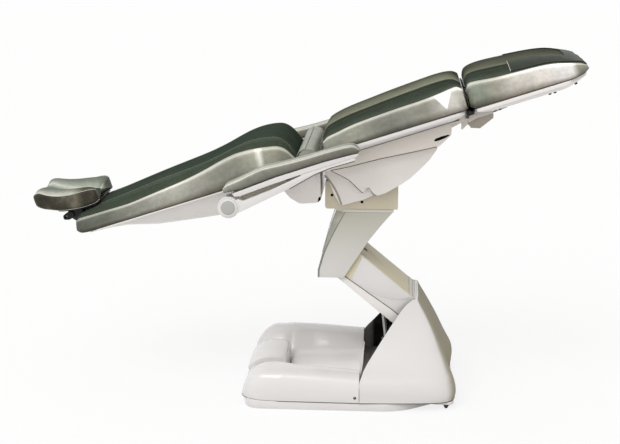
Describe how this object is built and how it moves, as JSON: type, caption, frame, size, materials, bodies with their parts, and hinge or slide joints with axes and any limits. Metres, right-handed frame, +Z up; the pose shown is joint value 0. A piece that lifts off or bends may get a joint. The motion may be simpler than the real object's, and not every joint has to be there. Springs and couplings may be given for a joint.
{
  "type": "ear nose and throat chair",
  "caption": "Powered reclining examination chair: padded seat, back, leg rest and head rest with armrests on a parallelogram lift arm over a moulded floor base.",
  "frame": {"origin": "centre of the base plinth underside, on the floor", "axes": "+X towards the foot end, +Y to the far side of the picture, +Z up"},
  "size_m": [1.8471, 0.72, 1.1744],
  "materials": {
    "white_shell": "smooth glossy moulded shell, warm white",
    "plinth": "glossy warm white paint",
    "beige_shell": "satin beige grey shell",
    "upholstery": "dark green grey artificial leather with silver side panels",
    "steel": "bright ground steel",
    "painted_frame": "satin beige paint",
    "hub_plastic": "smooth pale shell with a grey cap",
    "black_plastic": "black, slightly glossy",
    "dark_frame": "dark satin paint"
  },
  "bodies": {
    "base": {"base_plinth": "plinth", "base_front_cover": "white_shell", "base_rear_cover": "white_shell", "levelling_foot_near": "black_plastic", "levelling_foot_far": "black_plastic", "lift_frame": "dark_frame", "lift_pin": "steel", "tie_pin_lower": "steel", "lift_actuator_body": "dark_frame"},
    "pedal": {"foot_pedal": "white_shell"},
    "lift_rod": {"lift_actuator_rod": "steel"},
    "lift_arm": {"lift_arm_beam": "dark_frame", "lift_lug_pin": "steel", "lift_arm_cover": "beige_shell", "lift_arm_side_panel_near": "white_shell", "lift_arm_side_panel_far": "white_shell", "lift_arm_tray": "white_shell"},
    "tie": {"tie_link": "steel"},
    "elbow": {"elbow_cover": "white_shell", "elbow_bracket": "dark_frame", "elbow_pin": "steel", "tie_pin_upper": "steel", "swivel_base_plate": "painted_frame"},
    "swivel": {"seat_bracket": "beige_shell", "tilt_shaft": "steel"},
    "seat": {"tilt_plate_near": "painted_frame", "tilt_plate_far": "painted_frame", "seat_side_cover_near": "white_shell", "seat_side_cover_far": "white_shell", "seat_frame": "white_shell", "seat_tray": "white_shell", "seat_cushion": "upholstery", "back_hinge_pin": "steel", "leg_hinge_pin": "steel"},
    "back": {"back_frame": "painted_frame", "back_shell": "white_shell", "back_tray": "white_shell", "back_cushion": "upholstery", "back_hinge_cover": "white_shell", "armrest_shaft": "steel"},
    "hub_near": {"armrest_hub_near": "hub_plastic"},
    "hub_far": {"armrest_hub_far": "hub_plastic"},
    "armrest_near": {"armrest_arm_near": "white_shell", "armrest_rail_near": "white_shell", "armrest_pad_near": "upholstery"},
    "armrest_far": {"armrest_arm_far": "white_shell", "armrest_rail_far": "white_shell", "armrest_pad_far": "upholstery"},
    "leg": {"leg_bracket": "white_shell", "leg_tray": "white_shell", "leg_cushion": "upholstery", "foot_protector": "black_plastic"},
    "head_bar": {"headrest_bar": "steel"},
    "head": {"headrest_plate": "black_plastic", "headrest_pad": "upholstery"},
    "head_lever": {"headrest_lock_lever": "black_plastic"}
  },
  "joints": [
    {"name": "lift", "type": "hinge", "parent": "base", "child": "lift_arm", "pos_m": [0.222, 0, 0.2426], "axis": [0, -1, 0], "range_deg": [0, 50]},
    {"name": "lift_tie", "type": "hinge", "parent": "base", "child": "tie", "pos_m": [0.2347, 0, 0.291], "axis": [0, -1, 0], "range_deg": [0, 50]},
    {"name": "lift_elbow", "type": "hinge", "parent": "lift_arm", "child": "elbow", "pos_m": [-0.05268, 0, 0.47064], "axis": [0, -1, 0], "range_deg": [-50, 0]},
    {"name": "lift_actuator", "type": "slide", "parent": "base", "child": "lift_rod", "axis": [-0.1132, 0, 0.9936], "range_m": [-0.092, 0]},
    {"name": "swivel", "type": "hinge", "parent": "elbow", "child": "swivel", "pos_m": [0.05, 0, 0.643], "axis": [0, 0, 1], "range_deg": [-90, 90]},
    {"name": "seat_tilt", "type": "hinge", "parent": "swivel", "child": "seat", "pos_m": [0.075, 0, 0.735], "axis": [0, 1, 0], "range_deg": [-8, 18]},
    {"name": "back", "type": "hinge", "parent": "seat", "child": "back", "pos_m": [-0.13291, 0, 0.84094], "axis": [0, 1, 0], "range_deg": [0, 75]},
    {"name": "leg_rest", "type": "hinge", "parent": "seat", "child": "leg", "pos_m": [0.38487, 0, 0.97868], "axis": [0, 1, 0], "range_deg": [0, 75]},
    {"name": "armrest_level_near", "type": "hinge", "parent": "back", "child": "hub_near", "pos_m": [-0.37807, 0, 0.70555], "axis": [0, 1, 0], "range_deg": [-75, 0]},
    {"name": "armrest_level_far", "type": "hinge", "parent": "back", "child": "hub_far", "pos_m": [-0.37807, 0, 0.70555], "axis": [0, 1, 0], "range_deg": [-75, 0]},
    {"name": "armrest_flip_near", "type": "hinge", "parent": "hub_near", "child": "armrest_near", "pos_m": [-0.37807, 0, 0.70555], "axis": [0, -1, 0], "range_deg": [0, 95]},
    {"name": "armrest_flip_far", "type": "hinge", "parent": "hub_far", "child": "armrest_far", "pos_m": [-0.37807, 0, 0.70555], "axis": [0, -1, 0], "range_deg": [0, 95]},
    {"name": "head_slide", "type": "slide", "parent": "back", "child": "head_bar", "axis": [-0.9511, 0, -0.309], "range_m": [0, 0.1]},
    {"name": "head_tilt", "type": "hinge", "parent": "head_bar", "child": "head", "pos_m": [-0.96485, 0, 0.60217], "axis": [0, -1, 0], "range_deg": [0, 45]},
    {"name": "head_lock", "type": "hinge", "parent": "head", "child": "head_lever", "pos_m": [-0.96485, 0, 0.60217], "axis": [0, -1, 0], "range_deg": [0, 40]},
    {"name": "pedal", "type": "hinge", "parent": "base", "child": "pedal", "pos_m": [-0.222, 0, 0.04], "axis": [0, -1, 0], "range_deg": [0, 6]}
  ],
  "couplings": [
    {"joint": "lift_tie", "follows": "lift", "ratio": 1},
    {"joint": "lift_elbow", "follows": "lift", "ratio": -1},
    {"joint": "lift_actuator", "follows": "lift", "m_per_rad": -0.105},
    {"joint": "armrest_level_near", "follows": "back", "ratio": -1},
    {"joint": "armrest_level_far", "follows": "back", "ratio": -1}
  ]
}
